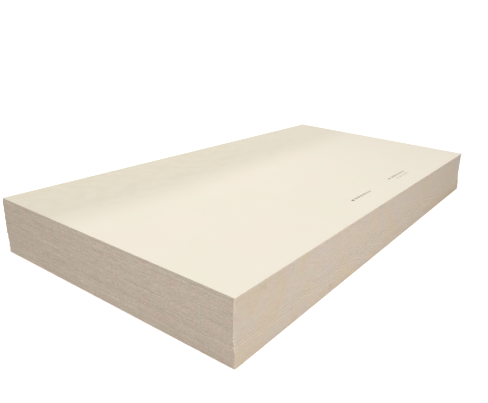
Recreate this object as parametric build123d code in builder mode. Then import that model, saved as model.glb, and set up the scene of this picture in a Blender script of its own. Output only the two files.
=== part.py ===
from build123d import *
import math
import os

# A pack of flat fibre cement boards, laid face to face on a level floor.
# Millimetres; X runs along the boards, Y across them and Z up.
# The origin is the centre of the bottom board's underside.

# The board
board_length = 2440
board_width = 1220
board_thickness = 12
end_arris = 0.5  # flat rubbed on the edges of the cross-cut ends; the trimmed long edges stay square

# The pack
board_count = 20
end_scatter = 0.8  # most that a board's end stands out of line with the bottom board's end
side_lean = 8  # how far back along Y the pack leans from its bottom board to its top board
side_step = 7  # how much further back the boards above the lowest few were set down
step_from = 0.15  # share of the pack's height where that step begins
step_to = 0.45  # share of the pack's height where it is complete
top_overhang = 2  # how far the top board was pushed forward again, over the board below it

# A turn that never comes round to the same place, so no two boards are out of line alike
golden_turn = math.pi * (3 - math.sqrt(5))


def end_slip(level):
    """How far along X the board at this level lies from the bottom board, which is level 0."""
    return end_scatter * math.sin(golden_turn * level)


def side_slip(level):
    """How far along Y the board at this level lies from the bottom board."""
    top_level = max(board_count - 1, 1)
    height_share = level / top_level
    step_share = min(max((height_share - step_from) / (step_to - step_from), 0), 1)
    slip = side_lean * height_share + side_step * step_share ** 2 * (3 - 2 * step_share)
    if level == top_level:
        slip -= top_overhang
    return slip


os.makedirs("parts", exist_ok=True)

for level in range(board_count):
    seat = Plane(origin=(end_slip(level), side_slip(level), level * board_thickness))
    with BuildPart() as board:
        with BuildSketch(seat):
            Rectangle(board_length, board_width)
        extrude(amount=board_thickness)
        cross_cut_edges = board.edges().filter_by(Axis.Y)
        chamfer(cross_cut_edges, end_arris)
    board.part.label = f"board_{level + 1:02d}"
    export_step(board.part, f"parts/{board.part.label}.step")
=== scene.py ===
# %% [markdown]
# A pack of fibre cement boards
#
# The object is a pack of large flat boards, laid face to face on the floor. The boards are pressed from
# cement, fine sand and cellulose fibre, so the faces are smooth and cream, and the cut edges are a little
# darker. Seen from a low corner the whole charm of the pack is in its edges: one end shows every board as
# a fine line, and the long side is almost plain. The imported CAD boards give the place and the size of
# everything, so the script loads them first and measures from them.

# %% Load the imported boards
import bmesh
import bpy
from math import radians
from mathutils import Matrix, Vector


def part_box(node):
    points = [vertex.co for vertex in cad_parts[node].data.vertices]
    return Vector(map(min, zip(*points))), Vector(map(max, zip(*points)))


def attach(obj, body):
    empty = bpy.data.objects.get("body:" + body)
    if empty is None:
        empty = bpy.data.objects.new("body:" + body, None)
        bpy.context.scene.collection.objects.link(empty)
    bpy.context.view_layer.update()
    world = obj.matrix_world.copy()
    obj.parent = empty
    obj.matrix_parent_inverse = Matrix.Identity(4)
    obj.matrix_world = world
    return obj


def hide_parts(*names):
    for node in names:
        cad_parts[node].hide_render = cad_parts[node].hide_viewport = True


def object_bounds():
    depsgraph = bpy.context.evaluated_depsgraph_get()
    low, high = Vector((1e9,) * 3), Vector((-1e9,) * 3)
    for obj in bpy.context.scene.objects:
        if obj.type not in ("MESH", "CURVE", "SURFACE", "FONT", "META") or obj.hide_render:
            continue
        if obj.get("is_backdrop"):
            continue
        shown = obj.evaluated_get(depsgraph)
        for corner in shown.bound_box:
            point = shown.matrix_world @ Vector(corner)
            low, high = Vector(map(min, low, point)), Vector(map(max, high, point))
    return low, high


MM = 0.001  # the scene is in metres

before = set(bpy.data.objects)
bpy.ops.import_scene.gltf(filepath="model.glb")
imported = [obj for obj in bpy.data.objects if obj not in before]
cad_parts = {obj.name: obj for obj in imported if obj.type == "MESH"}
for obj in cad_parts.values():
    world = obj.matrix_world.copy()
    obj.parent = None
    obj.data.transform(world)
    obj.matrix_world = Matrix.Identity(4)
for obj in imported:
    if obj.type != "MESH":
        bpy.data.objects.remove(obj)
cad_low, cad_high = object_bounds()
board_nodes = sorted(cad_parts)
first_low, first_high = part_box(board_nodes[0])
board_length, board_width, board_thickness = first_high - first_low
half_length, half_width = board_length / 2, board_width / 2
print(len(board_nodes), "boards of", [round(side / MM, 1) for side in first_high - first_low], "mm")

# %% [markdown]
# Working by hand means selecting things and then pressing a key. Three small helpers do the selecting: one
# picks a whole object, and two pick edges or faces of the object in edit mode by a test on their place or
# direction. Everything else is deselected first, because an operator acts on all that is selected.

# %% Helpers for selecting
def pick(obj):
    """Select one object and make it the active one."""
    bpy.ops.object.select_all(action="DESELECT")
    obj.select_set(True)
    bpy.context.view_layer.objects.active = obj


def pick_edges(obj, test):
    """In edit mode, select only the edges that pass the test, and say how many there are."""
    bpy.ops.mesh.select_mode(type="EDGE")
    bpy.ops.mesh.select_all(action="DESELECT")
    shape = bmesh.from_edit_mesh(obj.data)
    chosen = [edge for edge in shape.edges if test(edge)]
    for edge in chosen:
        edge.select_set(True)
    bmesh.update_edit_mesh(obj.data)
    return len(chosen)


def pick_faces(obj, test):
    """In edit mode, select only the faces that pass the test, and say how many there are."""
    bpy.ops.mesh.select_mode(type="FACE")
    bpy.ops.mesh.select_all(action="DESELECT")
    shape = bmesh.from_edit_mesh(obj.data)
    shape.normal_update()
    chosen = [face for face in shape.faces if test(face)]
    for face in chosen:
        face.select_set(True)
    bmesh.update_edit_mesh(obj.data)
    return len(chosen)


# %% [markdown]
# Every finish is a small network of nodes. A colour is written as a paint chart would give it, in sRGB hex,
# and one function turns it into the linear numbers that Blender works in. Another adds a node, sets it and
# wires it, so that each finish below reads as a list of what it does. All patterns use Object coordinates,
# which here are real metres, so a pattern's scale is one over its real size.

# %% Helpers for finishes
def linear(hex_colour):
    """An sRGB hex colour as linear red, green, blue and alpha."""
    channels = [int(hex_colour[i:i + 2], 16) / 255 for i in (1, 3, 5)]
    return tuple(c / 12.92 if c <= 0.04045 else ((c + 0.055) / 1.055) ** 2.4 for c in channels) + (1.0,)


def add_node(tree, kind, values=None, links=None, **settings):
    """Add one node with its settings, the values of its inputs, and links into its inputs."""
    node = tree.nodes.new(kind)
    for name, value in settings.items():
        setattr(node, name, value)
    for name, value in (values or {}).items():
        node.inputs[name].default_value = value
    for name, socket in (links or {}).items():
        tree.links.new(socket, node.inputs[name])
    return node


def new_finish(name, specular):
    """A material with its shader and Object coordinates ready: (material, tree, shader, coordinates)."""
    material = bpy.data.materials.new(name)
    material.use_nodes = True
    tree = material.node_tree
    shader = tree.nodes["Principled BSDF"]
    shader.inputs["Specular IOR Level"].default_value = specular
    place = add_node(tree, "ShaderNodeTexCoord").outputs["Object"]
    return material, tree, shader, place


def wire(tree, shader, colour, roughness, relief):
    """Connect a finish's colour, roughness and relief to its shader."""
    tree.links.new(colour, shader.inputs["Base Color"])
    tree.links.new(roughness, shader.inputs["Roughness"])
    tree.links.new(relief, shader.inputs["Normal"])


# %% [markdown]
# Cement never dries to one even colour. Soft patches of two near colours come back in several finishes, at
# several sizes, so they have a function: a noise, stretched so that both colours are reached, mixes them. A
# Mix node has a set of sockets for each type of value, so the ones for colours are called by their number.

# %% Helper for patchy colours
SHARE, FIRST, SECOND, MIXED = 0, 6, 7, 2  # a Mix node's inputs for colours, and its output
NOISE_LOW, NOISE_HIGH = 0.35, 0.65  # a noise keeps mostly to this part of 0 to 1


def patches(tree, place, size, first, second, detail=2.0):
    """Soft patches of one real size, from the first colour to the second."""
    noise = add_node(tree, "ShaderNodeTexNoise", {"Scale": 1 / size, "Detail": detail}, {"Vector": place})
    share = add_node(tree, "ShaderNodeMapRange", {"From Min": NOISE_LOW, "From Max": NOISE_HIGH},
                     {"Value": noise.outputs["Fac"]})
    colour = add_node(tree, "ShaderNodeMix", {FIRST: linear(first), SECOND: linear(second)},
                      {SHARE: share.outputs["Result"]}, data_type="RGBA")
    return colour.outputs[MIXED]


# %% [markdown]
# The face of a board is pressed against a smooth plate while it is wet. It dries cream and matt, with a very
# faint cloudiness between a pinker and a greener cream, where the water left it unevenly. A picture could be
# painted for it, but noise does it, and never runs out of detail. A much finer noise stands for the mark of
# the press felt, and gives the roughness and the relief.

# %% Finish: pressed face of fibre cement
CLOUD_SIZE = 260 * MM
FELT_SIZE = 3 * MM  # the press felt leaves a mark under 1 mm, drawn this coarse so that it shows at all

pressed_face, tree, shader, place = new_finish("pressed_fibre_cement_face", specular=0.25)
cream = patches(tree, place, CLOUD_SIZE, "#D2C9BC", "#CFCABB", detail=4.0)
felt = add_node(tree, "ShaderNodeTexNoise", {"Scale": 1 / FELT_SIZE, "Detail": 2.0}, {"Vector": place})
relief = add_node(tree, "ShaderNodeBump", {"Strength": 0.15, "Distance": 0.1 * MM},
                  {"Height": felt.outputs["Fac"]})
matt = add_node(tree, "ShaderNodeMapRange", {"To Min": 0.64, "To Max": 0.80},
                {"Value": felt.outputs["Fac"]})
print("pressed face: clouds of", round(CLOUD_SIZE / MM), "mm, felt of", round(FELT_SIZE / MM), "mm")

# %% [markdown]
# A broad strip along the board's far long edge is painted a shade greyer: this is painted shade, and the
# strip pales towards the far end. A ramp across the board makes it. A slow noise moves the ramp to and fro,
# so that the border of the painted shade is never straight, and the grey itself is in small patches.

# %% Painted shade: the greyer strip of the pressed face
SHADE_STARTS = 78 * MM  # from the middle of the board to where the strip begins
SHADE_WHOLE = 352 * MM  # and to where it has its full tone
BEND_SIZE = 600 * MM  # length of one bend of the strip's border
BEND_REACH = 100 * MM  # full range of the noise that bends it, of which it uses about a third
SHADE_AT_FAR_END = 0.5  # what is left of the strip at the far end
SHADE_PATCH = 60 * MM

axes = add_node(tree, "ShaderNodeSeparateXYZ", links={"Vector": place})
bends = add_node(tree, "ShaderNodeTexNoise", {"Scale": 1 / BEND_SIZE, "Detail": 0.0}, {"Vector": place})
drift = add_node(tree, "ShaderNodeMapRange", {"To Min": -BEND_REACH / 2, "To Max": BEND_REACH / 2},
                 {"Value": bends.outputs["Fac"]})
across = add_node(tree, "ShaderNodeMath", links={0: axes.outputs["Y"], 1: drift.outputs["Result"]},
                  operation="SUBTRACT")
shade_strip = add_node(tree, "ShaderNodeMapRange", {"From Min": SHADE_STARTS, "From Max": SHADE_WHOLE},
                 {"Value": across.outputs[0]}, interpolation_type="SMOOTHSTEP")
paling = add_node(tree, "ShaderNodeMapRange",
                  {"From Max": half_length, "To Min": 1.0, "To Max": SHADE_AT_FAR_END},
                  {"Value": axes.outputs["X"]})
shade_share = add_node(tree, "ShaderNodeMath", links={0: shade_strip.outputs["Result"], 1: paling.outputs["Result"]},
                    operation="MULTIPLY")
greyer = patches(tree, place, SHADE_PATCH, "#C6BFAF", "#C2BBA9", detail=3.0)
# The painted shade of the far strip is mixed over the cream here.
toned = add_node(tree, "ShaderNodeMix", links={SHARE: shade_share.outputs[0], FIRST: cream, SECOND: greyer},
                 data_type="RGBA")
wire(tree, shader, toned.outputs[MIXED], matt.outputs["Result"], relief.outputs["Normal"])
print("finish:", pressed_face.name)

# %% [markdown]
# A cross-cut end is sawn and stays open and dull. Its plain colour is a brownish sand, in patches that are a
# little pinker or greener: these are a tint, a colour near white, that is multiplied onto the sand. Low
# down, more towards the far corner, it is painted paler: painted light that makes up for the shade near the
# floor.

# %% Finish: plain colour of the sawn end, with painted light low down
TINT_SIZE = 35 * MM
TINTS = ("#FFFBFD", "#FBFFFD")
PAINTED_LIGHT_HEIGHT = 80 * MM  # how high it reaches

sawn_end, tree, shader, place = new_finish("sawn_fibre_cement_end", specular=0.15)
axes = add_node(tree, "ShaderNodeSeparateXYZ", links={"Vector": place})
low_down = add_node(tree, "ShaderNodeMapRange", {"From Max": PAINTED_LIGHT_HEIGHT, "To Min": 1.0, "To Max": 0.0},
                    {"Value": axes.outputs["Z"]})
far_side = add_node(tree, "ShaderNodeMapRange", {"From Min": -half_width, "From Max": half_width},
                    {"Value": axes.outputs["Y"]})
# How much painted light goes on low down: more near the floor and towards the far corner.
painted_light_share = add_node(tree, "ShaderNodeMath",
                     links={0: low_down.outputs["Result"], 1: far_side.outputs["Result"]},
                     operation="MULTIPLY")
sand = add_node(tree, "ShaderNodeMix", {FIRST: linear("#9D9184"), SECOND: linear("#A4988B")},
                {SHARE: painted_light_share.outputs[0]}, data_type="RGBA")
tint = patches(tree, place, TINT_SIZE, *TINTS)
tinted = add_node(tree, "ShaderNodeMix", {SHARE: 1.0}, {FIRST: sand.outputs[MIXED], SECOND: tint},
                  data_type="RGBA", blend_type="MULTIPLY")
print("sawn end: tint in patches of", round(TINT_SIZE / MM), "mm")

# %% [markdown]
# The saw has opened the thin films that the board was built up from. They show as long bands and as short
# streaks that run along the end, and between them lie grains of sand. All three are noises: two are squeezed
# flat, so that their blobs become bands or streaks, and the third is nearly round. Multiplied onto the plain
# colour they darken and lighten it a little, and they roughen it as well. A loop does this, because the
# three differ only in their sizes and strength.

# %% Finish: pattern of the sawn end
# Length and height in mm, and strength; films and grains are really under 1 mm, and are drawn this coarse so
# that they show
END_PATTERNS = (("bands", 500, 5.0, 0.055), ("streaks", 40, 4.5, 0.05), ("grains", 7, 4.0, 0.16))
DARKEST, LIGHTEST = 0.3, 0.7  # noise that darkens or lightens by the whole strength

colour, relief = tinted.outputs[MIXED], None
for name, length, height, strength in END_PATTERNS:
    scale = (1 / (length * MM), 1 / (length * MM), 1 / (height * MM))
    squeeze = add_node(tree, "ShaderNodeMapping", {"Scale": scale}, {"Vector": place})
    noise = add_node(tree, "ShaderNodeTexNoise", {"Scale": 1.0, "Detail": 2.0, "Roughness": 0.6},
                     {"Vector": squeeze.outputs["Vector"]}, label=name)
    tone = add_node(tree, "ShaderNodeMapRange",
                    {"From Min": DARKEST, "From Max": LIGHTEST,
                     "To Min": 1 - strength, "To Max": 1 + strength},
                    {"Value": noise.outputs["Fac"]}, clamp=False)
    toned = add_node(tree, "ShaderNodeMix", {SHARE: 1.0}, {FIRST: colour, SECOND: tone.outputs["Result"]},
                     data_type="RGBA", blend_type="MULTIPLY")
    bump = add_node(tree, "ShaderNodeBump", {"Strength": 0.3, "Distance": 0.3 * MM},
                    {"Height": noise.outputs["Fac"]})
    if relief:
        tree.links.new(relief, bump.inputs["Normal"])
    colour, relief = toned.outputs[MIXED], bump.outputs["Normal"]
rough = add_node(tree, "ShaderNodeMapRange", {"To Min": 0.84, "To Max": 0.98},
                 {"Value": noise.outputs["Fac"]})
wire(tree, shader, colour, rough.outputs["Result"], relief)
print("finish:", sawn_end.name, "with", len(END_PATTERNS), "patterns")

# %% [markdown]
# Sawdust stays on a board's face for a few millimetres along its cross-cut ends. Where a board stands out
# from under the next one, it's this dusted margin that shows, as a line that is pale in places and dark in
# others. One stretched noise says where the dust lies.

# %% Finish: face of fibre cement with sawdust on it
DUST_LENGTH = 160 * MM
DUST_STEP = 9 * MM  # less than a board's thickness, so that neighbouring boards differ
DUST_FROM, DUST_WHOLE = 0.32, 0.62  # noise at which the dust begins, and at which it covers all

dusted_margin, tree, shader, place = new_finish("sawdust_on_fibre_cement", specular=0.1)
squeeze = add_node(tree, "ShaderNodeMapping",
                   {"Scale": (1 / DUST_LENGTH, 1 / DUST_LENGTH, 1 / DUST_STEP)}, {"Vector": place})
drifts = add_node(tree, "ShaderNodeTexNoise", {"Scale": 1.0, "Detail": 3.0, "Roughness": 0.65},
                  {"Vector": squeeze.outputs["Vector"]})
cover = add_node(tree, "ShaderNodeMapRange", {"From Min": DUST_FROM, "From Max": DUST_WHOLE},
                 {"Value": drifts.outputs["Fac"]})
dust = add_node(tree, "ShaderNodeMix", {FIRST: linear("#9A8F83"), SECOND: linear("#DCD5C8")},
                {SHARE: cover.outputs["Result"]}, data_type="RGBA")
rough = add_node(tree, "ShaderNodeMapRange", {"To Min": 0.8, "To Max": 1.0},
                 {"Value": drifts.outputs["Fac"]})
relief = add_node(tree, "ShaderNodeBump", {"Strength": 0.3, "Distance": 0.2 * MM},
                  {"Height": drifts.outputs["Fac"]})
wire(tree, shader, dust.outputs[MIXED], rough.outputs["Result"], relief.outputs["Normal"])
print("finish:", dusted_margin.name)

# %% [markdown]
# The long sides were trimmed by one wide cutter, which closes the surface and leaves it smooth. What is left
# is a soft blotchiness between a greyer and a yellower sand colour, a hand's breadth across, the same pinker
# and greener tint as on the ends, and a finer cloudiness, which also gives the roughness and the relief.

# %% Finish: trimmed long side of fibre cement
BLOTCH_SIZE = 90 * MM
CLOUDLET_SIZE = 14 * MM
CLOUDLET_STRENGTH = 0.035

trimmed_side, tree, shader, place = new_finish("trimmed_fibre_cement_side", specular=0.15)
sand = patches(tree, place, BLOTCH_SIZE, "#AFA398", "#B1A28F")
tint = patches(tree, place, TINT_SIZE, *TINTS)
tinted = add_node(tree, "ShaderNodeMix", {SHARE: 1.0}, {FIRST: sand, SECOND: tint},
                  data_type="RGBA", blend_type="MULTIPLY")
cloudlets = add_node(tree, "ShaderNodeTexNoise",
                     {"Scale": 1 / CLOUDLET_SIZE, "Detail": 3.0, "Roughness": 0.6}, {"Vector": place})
tone = add_node(tree, "ShaderNodeMapRange",
                {"From Min": DARKEST, "From Max": LIGHTEST,
                 "To Min": 1 - CLOUDLET_STRENGTH, "To Max": 1 + CLOUDLET_STRENGTH},
                {"Value": cloudlets.outputs["Fac"]}, clamp=False)
clouded = add_node(tree, "ShaderNodeMix", {SHARE: 1.0},
                   {FIRST: tinted.outputs[MIXED], SECOND: tone.outputs["Result"]},
                   data_type="RGBA", blend_type="MULTIPLY")
rough = add_node(tree, "ShaderNodeMapRange", {"To Min": 0.78, "To Max": 0.92},
                 {"Value": cloudlets.outputs["Fac"]})
relief = add_node(tree, "ShaderNodeBump", {"Strength": 0.2, "Distance": 0.2 * MM},
                  {"Height": cloudlets.outputs["Fac"]})
print("side: blotches of", round(BLOTCH_SIZE / MM), "mm, cloudlets of", round(CLOUDLET_SIZE / MM), "mm")

# %% [markdown]
# Low down the trimmed side has stains, which are a noise that counts for more close to the floor, and at the
# far end it is darker and yellower low down: one ramp falls with the height, another rises towards that end,
# and the two multiplied say how much.

# %% Finish: stains, and a yellower far end low on the trimmed side
LOW_ZONE_HEIGHT = 80 * MM
STAIN_SIZE = 60 * MM
STAIN_FROM, STAIN_WHOLE = 0.60, 0.78  # noise at which a stain begins, and at which it is darkest
STAIN_STRENGTH = 0.55
STAIN_AT_FLOOR = 0.04  # added to the noise at the floor
YELLOW_FROM = 0.3  # share of half the length, from the middle of the side, where it begins to yellow
YELLOW_WHOLE = 0.9  # and where it has yellowed fully

axes = add_node(tree, "ShaderNodeSeparateXYZ", links={"Vector": place})
low_down = add_node(tree, "ShaderNodeMapRange", {"From Max": LOW_ZONE_HEIGHT, "To Min": 1.0, "To Max": 0.0},
                    {"Value": axes.outputs["Z"]})
far_along = add_node(tree, "ShaderNodeMapRange",
                     {"From Min": YELLOW_FROM * half_length, "From Max": YELLOW_WHOLE * half_length},
                     {"Value": axes.outputs["X"]})
yellowing = add_node(tree, "ShaderNodeMath",
                links={0: low_down.outputs["Result"], 1: far_along.outputs["Result"]}, operation="MULTIPLY")
yellowed = add_node(tree, "ShaderNodeMix", {SECOND: linear("#AB9984")},
                    {SHARE: yellowing.outputs[0], FIRST: clouded.outputs[MIXED]}, data_type="RGBA")
spots = add_node(tree, "ShaderNodeTexNoise", {"Scale": 1 / STAIN_SIZE, "Detail": 4.0, "Roughness": 0.6},
                 {"Vector": place})
reach = add_node(tree, "ShaderNodeMath", {1: STAIN_AT_FLOOR},
                 {0: low_down.outputs["Result"], 2: spots.outputs["Fac"]}, operation="MULTIPLY_ADD")
stain = add_node(tree, "ShaderNodeMapRange",
                 {"From Min": STAIN_FROM, "From Max": STAIN_WHOLE, "To Max": STAIN_STRENGTH},
                 {"Value": reach.outputs[0]}, interpolation_type="SMOOTHSTEP")
stained = add_node(tree, "ShaderNodeMix", {SECOND: linear("#9D8F7A")},
                   {SHARE: stain.outputs["Result"], FIRST: yellowed.outputs[MIXED]}, data_type="RGBA")
print("damp up to", round(LOW_ZONE_HEIGHT / MM), "mm, stains of", round(STAIN_SIZE / MM), "mm")

# %% [markdown]
# A board's face has the finish of the trimmed side for a few millimetres along its long edges. Where it
# looks
# up it is painted paler: painted light that makes up for the shade in the corner of each small ledge where
# one board lies back from the next, so that the ledges hardly show. The normal says how much.

# %% Finish: painted light on the ledges of the trimmed side
# The pale colour here is painted light, not dust: its share on what looks straight up, and where on the
# normal it begins and is full.
LEDGE_PAINTED_LIGHT = 0.72  # share of dust on what looks straight up
UPWARD_FROM, UPWARD_WHOLE = 0.6, 0.9  # upward part of the normal at which dust begins to lie, and lies fully

normal = add_node(tree, "ShaderNodeNewGeometry").outputs["Normal"]
facing = add_node(tree, "ShaderNodeSeparateXYZ", links={"Vector": normal}).outputs["Z"]
ledge_light_share = add_node(tree, "ShaderNodeMapRange",
                 {"From Min": UPWARD_FROM, "From Max": UPWARD_WHOLE, "To Max": LEDGE_PAINTED_LIGHT}, {"Value": facing})
ledges_painted_paler = add_node(tree, "ShaderNodeMix", {SECOND: linear("#CEC8B9")},
                  {SHARE: ledge_light_share.outputs["Result"], FIRST: stained.outputs[MIXED]}, data_type="RGBA")
wire(tree, shader, ledges_painted_paler.outputs[MIXED], rough.outputs["Result"], relief.outputs["Normal"])
print("finish:", trimmed_side.name)

# %% [markdown]
# One board is drawn once and copied. A box would do for its bulk, but its ends need many small steps so that
# they can be made uneven later. So the outline comes first: a plane is sized, its corners are rounded a
# little, its face is thrown away, its four edges are divided, and the outline is filled again as one face.
# Nothing is spent on the middle of the face, which is flat.

# %% Draw the outline of one board
CORNER_RADIUS = 3 * MM
END_STEPS = (12, 17)  # pieces that an end edge is divided into, and then pieces of each of those
SIDE_STEPS = (12, 10)
STRAIGHT = 0.99  # share of an edge's length along an axis, from which it counts as running along it

bpy.ops.object.select_all(action="DESELECT")
bpy.ops.mesh.primitive_plane_add(size=1, enter_editmode=True)
blank = bpy.context.object
blank.name = "board_blank"
bpy.ops.transform.resize(value=(board_length, board_width, 1))
bpy.ops.mesh.bevel(offset=CORNER_RADIUS, segments=3, affect="VERTICES")
bpy.ops.mesh.select_all(action="SELECT")
bpy.ops.mesh.delete(type="ONLY_FACE")


def runs_along(edge, axis):
    """True where an edge runs along X (0), Y (1) or Z (2)."""
    step = edge.verts[1].co - edge.verts[0].co
    return abs(step[axis]) > STRAIGHT * step.length


for axis, steps in ((1, END_STEPS), (0, SIDE_STEPS)):
    for pieces in steps:
        pick_edges(blank, lambda edge: runs_along(edge, axis))
        bpy.ops.mesh.subdivide(number_cuts=pieces - 1)
bpy.ops.mesh.select_all(action="SELECT")
bpy.ops.mesh.edge_face_add()
bpy.ops.object.mode_set(mode="OBJECT")
print("outline of", len(blank.data.vertices), "points and", len(blank.data.polygons), "face")

# %% [markdown]
# The outline is pulled up to the board's thickness. The two cross-cut ends then lose their sharp edges: a
# saw leaves a burr there and handling rubs it off, so each edge gets a narrow flat, an arris. The long edges
# stay square, as on the real pack, and this small difference is why the end shows lines and the long side
# doesn't. The flat runs out on a point of the round corner that is there already, so doubled points are
# merged.

# %% Pull it up to a board and rub its ends
FILM_OF_AIR = 0.05 * MM  # boards never lie quite tight, and the ink on the top board has this thickness
END_ARRIS = 0.5 * MM
SAME_PLACE = 0.01 * MM  # points nearer to each other than this are one

pick(blank)
bpy.ops.object.mode_set(mode="EDIT")
bpy.ops.mesh.select_all(action="SELECT")
lift = board_thickness - FILM_OF_AIR
bpy.ops.mesh.extrude_region_move(TRANSFORM_OT_translate={"value": (0, 0, lift)})
bpy.ops.mesh.select_all(action="SELECT")
bpy.ops.mesh.normals_make_consistent(inside=False)


def on_an_end(point):
    """True for a point on one of the two cross-cut ends."""
    return abs(point.x) > half_length - SAME_PLACE


rim = pick_edges(blank, lambda edge: runs_along(edge, 1) and all(on_an_end(v.co) for v in edge.verts))
bpy.ops.mesh.bevel(offset=END_ARRIS, segments=1, affect="EDGES")
bpy.ops.mesh.select_all(action="SELECT")
bpy.ops.mesh.remove_doubles(threshold=SAME_PLACE)
bpy.ops.object.mode_set(mode="OBJECT")
print(rim, "edges rubbed,", len(blank.data.polygons), "faces")

# %% [markdown]
# The margins along the ends and the long edges need faces of their own. Four cuts through the whole board
# give them.

# %% Cut the margins
MARGIN = 3 * MM
ALONG, ACROSS = (1, 0, 0), (0, 1, 0)
CUTS = (((MARGIN - half_length, 0, 0), ALONG), ((half_length - MARGIN, 0, 0), ALONG),
        ((0, MARGIN - half_width, 0), ACROSS), ((0, half_width - MARGIN, 0), ACROSS))

bpy.ops.object.mode_set(mode="EDIT")
for point, direction in CUTS:
    bpy.ops.mesh.select_all(action="SELECT")
    bpy.ops.mesh.bisect(plane_co=point, plane_no=direction)
open_edges = sum(len(edge.link_faces) != 2 for edge in bmesh.from_edit_mesh(blank.data).edges)
bpy.ops.object.mode_set(mode="OBJECT")
print(len(blank.data.polygons), "faces after the cuts,", open_edges, "open edges")

# %% [markdown]
# The finishes go on by direction: what looks up or down is pressed face, what looks along the board is sawn
# end, and what looks sideways is trimmed side. The margins come last, over the pressed face. Assigning all
# of them on the blank means that every copy has them.

# %% Put the finishes on the blank
FLAT = 0.9  # upward or downward part of its normal, from which a face counts as flat
UPRIGHT = 0.6  # part of its normal along or across the board, from which it counts as end or side


def lies_flat(face):
    """True for a face that looks up or down."""
    return abs(face.normal.z) > FLAT


def in_long_margin(face):
    """True for a flat face along one of the long edges."""
    return lies_flat(face) and abs(face.calc_center_median().y) > half_width - MARGIN


def in_end_margin(face):
    """True for a flat face along one of the cross-cut ends."""
    return lies_flat(face) and abs(face.calc_center_median().x) > half_length - MARGIN


FINISHES = ((pressed_face, lies_flat),
            (sawn_end, lambda face: abs(face.normal.x) > UPRIGHT),
            (trimmed_side, lambda face: abs(face.normal.y) > UPRIGHT),
            (trimmed_side, in_long_margin),
            (dusted_margin, in_end_margin))
MARGIN_SLOTS = (3, 4)  # the last two of these

bpy.ops.object.mode_set(mode="EDIT")
for index, (finish, test) in enumerate(FINISHES):
    blank.data.materials.append(finish)
    count = pick_faces(blank, test)
    blank.active_material_index = index
    bpy.ops.object.material_slot_assign()
    print(finish.name, "on", count, "faces")
bpy.ops.object.mode_set(mode="OBJECT")

# %% [markdown]
# No two boards are alike. The saw wanders a little, the arris has nicks, and corners get knocked. Each kind
# of wear is a cloud of noise, and for nicks only the peaks of the noise count, which a colour ramp picks
# out.

# %% Kinds of wear
NICK_FROM, NICK_WHOLE = 0.66, 0.80  # noise at which a nick begins, and at which it is deepest

saw_wander = bpy.data.textures.new("saw_wander", type="CLOUDS")
saw_wander.noise_scale = 40 * MM
saw_wander.noise_depth = 3
knocks = bpy.data.textures.new("knocks", type="CLOUDS")
knocks.noise_scale = 15 * MM
nicks = bpy.data.textures.new("nicks", type="CLOUDS")
nicks.noise_scale = 12 * MM
nicks.use_color_ramp = True
nicks.color_ramp.elements[0].position = NICK_FROM
nicks.color_ramp.elements[0].color = (0, 0, 0, 1)
nicks.color_ramp.elements[1].position = NICK_WHOLE
print("kinds of wear:", [texture.name for texture in (saw_wander, nicks, knocks)])

# %% [markdown]
# A noise pushes points of the board inwards, never outwards, so that a board stays inside its real size.
# Which points it may push is collected in vertex groups on the blank, and a table says how deep it goes,
# with a minus where inwards is backwards along the axis.

# %% Where each kind of wear goes
near, far = CORNER_RADIUS - half_length, half_length - CORNER_RADIUS  # where the round corners begin
front, back = CORNER_RADIUS - half_width, half_width - CORNER_RADIUS
GROUPS = {"near_end": lambda p: p.x < 2 * END_ARRIS - half_length,
          "far_end": lambda p: p.x > half_length - 2 * END_ARRIS,
          "near_corners": lambda p: p.x < near and not front <= p.y <= back,
          "far_corners": lambda p: p.x > far and not front <= p.y <= back,
          "front_corners": lambda p: p.y < front and not near <= p.x <= far,
          "back_corners": lambda p: p.y > back and not near <= p.x <= far}
for name, test in GROUPS.items():
    points = [v.index for v in blank.data.vertices if test(v.co)]
    blank.vertex_groups.new(name=name).add(points, 1.0, "REPLACE")
    print(name, len(points), "points")

WANDER_DEPTH = 0.7 * MM
NICK_DEPTH = 1.5 * MM
KNOCK_ALONG, KNOCK_ACROSS = 1.8 * MM, 1.2 * MM
# Group, axis, texture and depth
WEAR = (("near_end", "X", saw_wander, WANDER_DEPTH), ("far_end", "X", saw_wander, -WANDER_DEPTH),
        ("near_end", "X", nicks, NICK_DEPTH), ("far_end", "X", nicks, -NICK_DEPTH),
        ("near_corners", "X", knocks, KNOCK_ALONG), ("far_corners", "X", knocks, -KNOCK_ALONG),
        ("front_corners", "Y", knocks, KNOCK_ACROSS), ("back_corners", "Y", knocks, -KNOCK_ACROSS))

# %% [markdown]
# Each copy is first laid out on its own, half a metre above the last, so that the noises in space wear it in
# its own way. Then it's moved down to the seat that its CAD board holds. Gentle bends are shaded smooth, so
# that the sawn ends and the round corners don't look like facets, and sharp edges stay sharp.

# %% Copy the boards into the pack
LAYOUT_STEP = 0.5  # metres
SMOOTH_BELOW = radians(30)

boards = []
for level, node in enumerate(board_nodes):
    pick(blank)
    bpy.ops.object.duplicate()
    board = bpy.context.object
    board.name = node + "_finished"
    layout_height = LAYOUT_STEP * (level + 1)
    bpy.ops.transform.translate(value=(0, 0, layout_height))
    bpy.ops.object.transform_apply(location=True)
    for group, direction, texture, depth in WEAR:
        push = board.modifiers.new("wear", "DISPLACE")
        push.texture = texture
        push.texture_coords = "LOCAL"
        push.direction = direction
        push.vertex_group = group
        push.mid_level = 0.0
        push.strength = depth
        bpy.ops.object.modifier_apply(modifier="wear")
    bpy.ops.object.shade_smooth_by_angle(angle=SMOOTH_BELOW)
    low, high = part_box(node)
    seat = (low + high) / 2
    bpy.ops.transform.translate(value=(seat.x, seat.y, low.z - layout_height))
    bpy.ops.object.transform_apply(location=True)
    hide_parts(node)
    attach(board, "root")
    boards.append(board)
bpy.data.objects.remove(blank)
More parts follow.
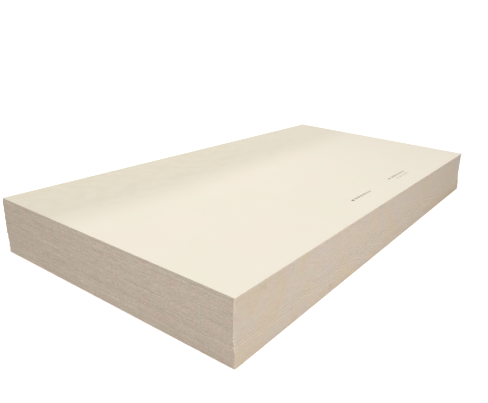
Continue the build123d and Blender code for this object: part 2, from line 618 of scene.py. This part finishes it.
# The top board's margins keep its plain pressed face, with no sawdust and no painted light for ledges.
for index in MARGIN_SLOTS:
    boards[-1].data.materials[index] = pressed_face  # the top board is wiped clean
print(len(boards), "boards seated,", sum(len(board.data.polygons) for board in boards), "faces")

# %% [markdown]
# A printer in the factory jets lines of ink on the face of a board, each a small square and a run of short
# dashes. The ink is thin and takes on the board's warm tone, so it is a brownish grey that fades in places.

# %% Finish: jet-printed ink
FADE_SIZE = 12 * MM

ink, tree, shader, place = new_finish("jet_printed_ink", specular=0.2)
fade = add_node(tree, "ShaderNodeTexNoise", {"Scale": 1 / FADE_SIZE, "Detail": 3.0}, {"Vector": place})
grey = add_node(tree, "ShaderNodeMix", {FIRST: linear("#675F4E"), SECOND: linear("#897F6A")},
                {SHARE: fade.outputs["Fac"]}, data_type="RGBA")
dry = add_node(tree, "ShaderNodeMapRange", {"To Min": 0.5, "To Max": 0.7}, {"Value": fade.outputs["Fac"]})
relief = add_node(tree, "ShaderNodeBump", {"Strength": 0.1, "Distance": 0.05 * MM},
                  {"Height": fade.outputs["Fac"]})
wire(tree, shader, grey.outputs[MIXED], dry.outputs["Result"], relief.outputs["Normal"])
print("finish:", ink.name)

# %% [markdown]
# All dashes are one shape: a patch with rounded corners and the thickness of a film of ink. It is modelled
# once, a metre wide, and each copy is then squeezed to its own size.

# %% Model one dash
DASH_ROUNDING = 0.3  # share of its side that a corner takes

bpy.ops.object.select_all(action="DESELECT")
bpy.ops.mesh.primitive_plane_add(size=1, enter_editmode=True)
dash = bpy.context.object
dash.name = "ink_dash"
bpy.ops.mesh.bevel(offset=DASH_ROUNDING, segments=3, affect="VERTICES")
bpy.ops.mesh.select_all(action="SELECT")
bpy.ops.mesh.extrude_region_move(TRANSFORM_OT_translate={"value": (0, 0, FILM_OF_AIR)})
bpy.ops.mesh.select_all(action="SELECT")
bpy.ops.mesh.normals_make_consistent(inside=False)
bpy.ops.object.mode_set(mode="OBJECT")
dash.data.materials.append(ink)
print("dash of", len(dash.data.polygons), "faces")

# %% [markdown]
# Each line starts with a solid square, and the dashes after it are two thin strokes, one beside the other,
# as a jet head with few nozzles lays them. Seen from the corner the lines fade away, so the strokes get
# thinner towards the far end. The second line has a fainter one beside it. All measures are in millimetres,
# from the near end and from the front edge of the top board.

# %% Print the marks
STROKES_APART = 7
# Start, distance from the front, length and ink of each dash; the ink is its strokes' width in all
NEAR_MARK = ((1032, 124, 19, 12.5), (1062, 124, 22, 8.0), (1088, 124, 28, 8.0), (1120, 123, 24, 7.0),
             (1148, 123, 32, 6.5), (1184, 122, 22, 6.0), (1210, 122, 24, 5.0))
FAR_MARK = ((1498, 133, 16, 12.5), (1536, 133, 20, 9.0), (1562, 133, 28, 9.5), (1596, 133, 28, 6.5),
            (1628, 133, 24, 6.5), (1656, 133, 34, 6.0), (1694, 133, 30, 5.0), (1545, 106, 26, 4.0),
            (1580, 106, 34, 4.0), (1622, 106, 24, 3.5), (1652, 106, 40, 3.5), (1698, 106, 14, 3.0))

top_low, top_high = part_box(board_nodes[-1])
for name, dashes in (("ink_mark_near", NEAR_MARK), ("ink_mark_far", FAR_MARK)):
    copies = []
    for start, from_front, length, width in dashes:
        strokes = (-STROKES_APART / 2, STROKES_APART / 2) if copies else (0,)  # the first one is the square
        for aside in strokes:
            pick(dash)
            bpy.ops.object.duplicate()
            bpy.ops.transform.resize(value=(length * MM, width / len(strokes) * MM, 1))
            bpy.ops.transform.translate(value=(top_low.x + (start + length / 2) * MM,
                                               top_low.y + (from_front + aside) * MM,
                                               top_high.z - FILM_OF_AIR))
            bpy.ops.object.transform_apply(location=True, scale=True)
            copies.append(bpy.context.object)
    pick(copies[0])
    for copy in copies:
        copy.select_set(True)
    bpy.ops.object.join()
    mark = bpy.context.object
    mark.name = name
    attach(mark, "root")
    print(name, "of", len(dashes), "dashes")
bpy.data.objects.remove(dash)

# %% [markdown]
# The pack stands on a plain white studio floor. A wide sun lamp almost straight above works as a very large
# soft box: it makes the faces bright and leaves the sides to the light that the floor throws back. Two low
# soft boxes, one on each side of the camera, lift the near corner and let both sides darken away from it,
# and a third hangs over the back edge.

# %% Floor and lamps
FLOOR_SIZE = 60  # metres
SUN_STRENGTH = 3.7
SUN_SPREAD = 75  # degrees across the sky
SUN_TILT = 12  # degrees, once about X and once about Y
# Name, place, turns in degrees, size and watts
SOFT_BOXES = (("right_soft_box", (-0.8, -2.7, 0.5), (85, 0, 0), (1.2, 0.8), 17.4),
              ("left_soft_box", (-3.3, -0.45, 0.5), (85, 0, -90), (1.2, 0.8), 20.8),
              ("hung_soft_box", (-0.05, 0.7, 2.2), (0, 0, 0), (1.5, 1.5), 9.2))

bpy.ops.object.select_all(action="DESELECT")
bpy.ops.mesh.primitive_plane_add(size=FLOOR_SIZE, location=(0, 0, cad_low.z))
floor = bpy.context.object
floor.name = "studio_floor"
floor_paint, _, shader, _ = new_finish("white_floor_paint", specular=0.0)
shader.inputs["Base Color"].default_value = linear("#FAFAF9")
floor.data.materials.append(floor_paint)
floor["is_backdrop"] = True

bpy.ops.object.light_add(type="SUN")
overhead = bpy.context.object
overhead.data.energy = SUN_STRENGTH
overhead.data.angle = radians(SUN_SPREAD)
overhead.rotation_euler = (radians(SUN_TILT), radians(-SUN_TILT), 0)
for name, location, turns, size, watts in SOFT_BOXES:
    bpy.ops.object.light_add(type="AREA", location=location, rotation=[radians(turn) for turn in turns])
    soft_box = bpy.context.object
    soft_box.name = name
    soft_box.data.shape = "RECTANGLE"
    soft_box.data.size, soft_box.data.size_y = size
    soft_box.data.energy = watts
print("floor", FLOOR_SIZE, "m wide, one sun and", len(SOFT_BOXES), "soft boxes")

# %% [markdown]
# The world is dim as a light but white where the camera sees it, so floor and background meet without a
# line.

# %% Background
WORLD_LIGHT = 0.11
WORLD_SEEN = 1.1

world = bpy.data.worlds.new("studio")
bpy.context.scene.world = world
world.use_nodes = True
backing = world.node_tree.nodes["Background"]
backing.inputs["Color"].default_value = linear("#FFFFFF")
seen = add_node(world.node_tree, "ShaderNodeLightPath").outputs["Is Camera Ray"]
glow = add_node(world.node_tree, "ShaderNodeMapRange", {"To Min": WORLD_LIGHT, "To Max": WORLD_SEEN},
                {"Value": seen})
world.node_tree.links.new(glow.outputs["Result"], backing.inputs["Strength"])
bpy.context.scene.view_settings.view_transform = "Standard"
print("world:", WORLD_LIGHT, "as a light and", WORLD_SEEN, "as seen")

# %% [markdown]
# The camera stands off the near corner, about a metre up, and looks down along the pack. Its place was
# worked out from where the pack's edges lie in the photograph; the small turn about its own axis is how the
# picture was held, and the small shift is how it was cropped. A camera that isn't turned looks straight down
# with +Y at the top of its picture, so both turns are counted from there.

# %% Camera
CAMERA_PLACE = (-2.229, -1.344, 0.988)
LOOKS_DOWN = 20.37  # degrees below level
HEADING = 34.42  # degrees round from +X
ROLL = 3.45  # degrees
FOCAL_LENGTH, SENSOR_WIDTH = 37.15, 36  # millimetres
CROP_SHIFT = (-0.025, 0.012)  # shares of the picture's width

turns = (radians(90 - LOOKS_DOWN), 0, radians(HEADING - 90))
bpy.ops.object.camera_add(location=CAMERA_PLACE, rotation=turns)
camera = bpy.context.object
camera.rotation_euler.rotate_axis("Z", radians(ROLL))
camera.data.lens = FOCAL_LENGTH
camera.data.sensor_width = SENSOR_WIDTH
camera.data.shift_x, camera.data.shift_y = CROP_SHIFT
bpy.context.scene.camera = camera
print("camera", [round(c, 2) for c in camera.location], "m")

# %% [markdown]
# Last, the finished pack is measured against the CAD pack, and how far each corner of it lies from the CAD
# box is printed. Nothing may stand outside the CAD box.

# %% Measure and finish
low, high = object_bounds()
for title, difference in (("low", low - cad_low), ("high", high - cad_high)):
    print(title, "corner, visual minus CAD:", [round(c / MM, 3) for c in difference], "mm")
